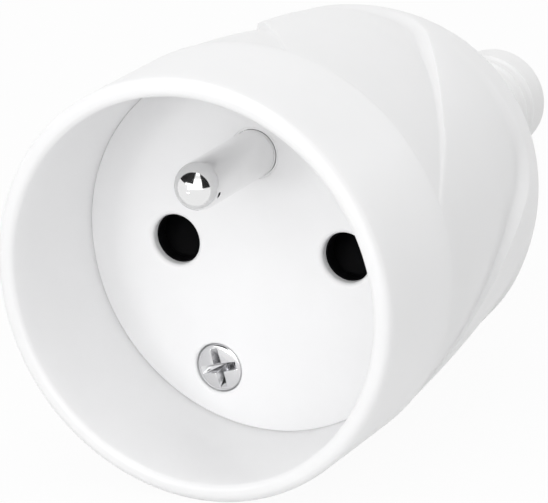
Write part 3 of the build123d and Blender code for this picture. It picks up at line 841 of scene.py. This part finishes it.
@dataclass
class Studio:
    """Pale floor, soft lamps, a white surround, and dark screens that only reflections show."""

    floor_half: float = 3.0
    floor_grey: float = 0.75
    floor_glow: float = 0.95
    surround: float = 0.56
    screen_reach: float = 0.8
    screen_grey: float = 0.01
    screen_roughness: float = 0.9
    screens: tuple[Screen, ...] = (
        Screen(-85.0, -42.0, 18.0, 76.0), Screen(-42.0, 2.0, 22.0, 76.0),
        Screen(43.0, 72.0, 2.0, 76.0), Screen(72.0, 104.0, 2.0, 76.0))
    lamps: tuple[Lamp, ...] = (
        Lamp("front_lamp", (0.42, -0.97, 0.36), 1.2, 4.8),
        Lamp("low_lamp", (-0.25, -0.8, 0.06), 0.15, 0.75),
        Lamp("key_lamp", (-0.35, -0.85, 0.55), 0.6, 1.4),
        Lamp("top_lamp", (0.0, -0.1, 1.1), 0.7, 3.0),
        Lamp("rim_lamp", (0.45, 0.7, 0.45), 0.4, 0.25))

    def build(self) -> None:
        """Makes the world, the floor, the screens and the lamps."""
        self._world()
        self._floor()
        self._screens()
        for lamp in self.lamps:
            self._light(lamp)

    def _world(self) -> None:
        """White surround for the camera and reflections, softer as a light."""
        world = bpy.data.worlds.new("surround")
        bpy.context.scene.world = world
        world.use_nodes = True
        tree = world.node_tree
        tree.nodes.clear()
        out = tree.nodes.new("ShaderNodeOutputWorld")
        mix = tree.nodes.new("ShaderNodeMixShader")
        light = tree.nodes.new("ShaderNodeBackground")
        seen = tree.nodes.new("ShaderNodeBackground")
        light.inputs["Strength"].default_value = self.surround
        seen.inputs["Strength"].default_value = 1.0
        light.inputs["Color"].default_value = (1.0, 1.0, 1.0, 1.0)
        seen.inputs["Color"].default_value = (1.0, 1.0, 1.0, 1.0)
        tree.links.new(self._seen_rays(tree), mix.inputs["Fac"])
        tree.links.new(light.outputs["Background"], mix.inputs[1])
        tree.links.new(seen.outputs["Background"], mix.inputs[2])
        tree.links.new(mix.outputs["Shader"], out.inputs["Surface"])

    def _seen_rays(self, tree: bpy.types.NodeTree) -> bpy.types.NodeSocket:
        """Socket that is 1 for camera, glossy and transmission rays.

        Args:
            tree: Node tree to add to.

        Returns:
            The output socket.
        """
        path = tree.nodes.new("ShaderNodeLightPath")
        first = tree.nodes.new("ShaderNodeMath")
        first.operation = "MAXIMUM"
        second = tree.nodes.new("ShaderNodeMath")
        second.operation = "MAXIMUM"
        tree.links.new(path.outputs["Is Camera Ray"], first.inputs[0])
        tree.links.new(path.outputs["Is Glossy Ray"], first.inputs[1])
        tree.links.new(first.outputs[0], second.inputs[0])
        tree.links.new(path.outputs["Is Transmission Ray"], second.inputs[1])
        return second.outputs[0]

    def _floor(self) -> None:
        """Wide pale floor that keeps a faint shadow."""
        level = CAD_BOX[0].z
        half = self.floor_half
        mesh = bpy.data.meshes.new("floor")
        corners = [(-half, -half, level), (half, -half, level), (half, half, level), (-half, half, level)]
        mesh.from_pydata(corners, [], [(0, 1, 2, 3)])
        floor = bpy.data.objects.new("floor", mesh)
        bpy.context.scene.collection.objects.link(floor)
        made = bpy.data.materials.new("pale_floor")
        made.use_nodes = True
        tree = made.node_tree
        tree.nodes.clear()
        out = tree.nodes.new("ShaderNodeOutputMaterial")
        mix = tree.nodes.new("ShaderNodeMixShader")
        matt = tree.nodes.new("ShaderNodeBsdfDiffuse")
        glow = tree.nodes.new("ShaderNodeEmission")
        matt.inputs["Color"].default_value = (self.floor_grey, self.floor_grey, self.floor_grey, 1.0)
        glow.inputs["Color"].default_value = (1.0, 1.0, 1.0, 1.0)
        glow.inputs["Strength"].default_value = 1.0
        share = tree.nodes.new("ShaderNodeMath")
        share.operation = "MULTIPLY"
        share.inputs[1].default_value = self.floor_glow
        tree.links.new(self._seen_rays(tree), share.inputs[0])
        tree.links.new(share.outputs[0], mix.inputs["Fac"])
        tree.links.new(matt.outputs["BSDF"], mix.inputs[1])
        tree.links.new(glow.outputs["Emission"], mix.inputs[2])
        tree.links.new(mix.outputs["Shader"], out.inputs["Surface"])
        mesh.materials.append(made)

    def _screens(self) -> None:
        """Dark screens round the front and the right, seen only as reflections."""
        made = bpy.data.materials.new("dark_screen")
        made.use_nodes = True
        shader = made.node_tree.nodes["Principled BSDF"]
        grey = self.screen_grey
        shader.inputs["Base Color"].default_value = (grey, grey, grey, 1.0)
        shader.inputs["Roughness"].default_value = self.screen_roughness
        for number, edges in enumerate(self.screens):
            corners = []
            for side, rise in ((edges.left, edges.low), (edges.right, edges.low),
                               (edges.right, edges.high), (edges.left, edges.high)):
                turn, lift = math.radians(side), math.radians(rise)
                corners.append((self.screen_reach * math.sin(turn) * math.cos(lift),
                                -self.screen_reach * math.cos(turn) * math.cos(lift),
                                self.screen_reach * math.sin(lift)))
            mesh = bpy.data.meshes.new(f"screen_{number}")
            mesh.from_pydata(corners, [], [(0, 1, 2, 3)])
            mesh.materials.append(made)
            screen = bpy.data.objects.new(f"screen_{number}", mesh)
            bpy.context.scene.collection.objects.link(screen)
            screen.visible_camera = False
            screen.visible_diffuse = False
            screen.visible_shadow = False
            screen.visible_transmission = False

    def _light(self, lamp: Lamp) -> None:
        """Adds a lamp to the scene.

        Args:
            lamp: What is added.
        """
        data = bpy.data.lights.new(lamp.name, "AREA")
        data.size = lamp.size
        data.energy = lamp.power
        light = bpy.data.objects.new(lamp.name, data)
        bpy.context.scene.collection.objects.link(light)
        light.location = lamp.place
        middle = (CAD_BOX[0] + CAD_BOX[1]) / 2
        light.rotation_euler = (middle - Vector(lamp.place)).to_track_quat("-Z", "Y").to_euler()


@dataclass
class PhotoCamera:
    """Long lens at the photograph's viewing angle.

    Args:
        azimuth_deg: Angle round the object, 0 looking along +Y.
        elevation_deg: Angle above the horizon.
        roll_deg: Turn about the line of sight.
        distance_mm: From the point in the middle of the frame.
        focal_px: Focal length in pixels of the photograph.
        middle_mm: Point in the middle of the frame.
        sensor_mm: Width of the sensor.
        clip_m: Nearest and farthest distance that is drawn, in metres.
    """

    azimuth_deg: float = 27.99
    elevation_deg: float = 17.70
    roll_deg: float = -2.87
    distance_mm: float = 416.4
    focal_px: float = 4000.0
    middle_mm: Point = (-6.94, 16.18, -5.90)
    sensor_mm: float = 36.0
    clip_m: Pair = (0.01, 20.0)

    def build(self) -> None:
        """Makes the camera and sets it as the scene's."""
        data = bpy.data.cameras.new("photo_camera")
        data.sensor_width = self.sensor_mm
        data.sensor_fit = "HORIZONTAL"
        data.lens = self.focal_px / IMAGE_WIDTH * self.sensor_mm
        data.clip_start, data.clip_end = self.clip_m
        camera = bpy.data.objects.new("photo_camera", data)
        bpy.context.scene.collection.objects.link(camera)
        side, rise = math.radians(self.azimuth_deg), math.radians(self.elevation_deg)
        back = Vector((math.sin(side) * math.cos(rise), -math.cos(side) * math.cos(rise), math.sin(rise)))
        turn = (-back).to_track_quat("-Z", "Y").to_matrix().to_4x4()
        roll = Matrix.Rotation(math.radians(self.roll_deg), 4, "Z")
        place = Vector(self.middle_mm) * MM + back * self.distance_mm * MM
        camera.matrix_world = Matrix.Translation(place) @ turn @ roll
        bpy.context.scene.camera = camera


def main() -> None:
    """Builds the scene in order."""
    logging.basicConfig(level=logging.INFO)
    bpy.context.scene.view_settings.view_transform = "Standard"
    Dressing().dress()
    Shell().build()
    FaceRings().build()
    CoverScrew().build()
    Studio().build()
    PhotoCamera().build()


if __name__ == "__main__":
    main()
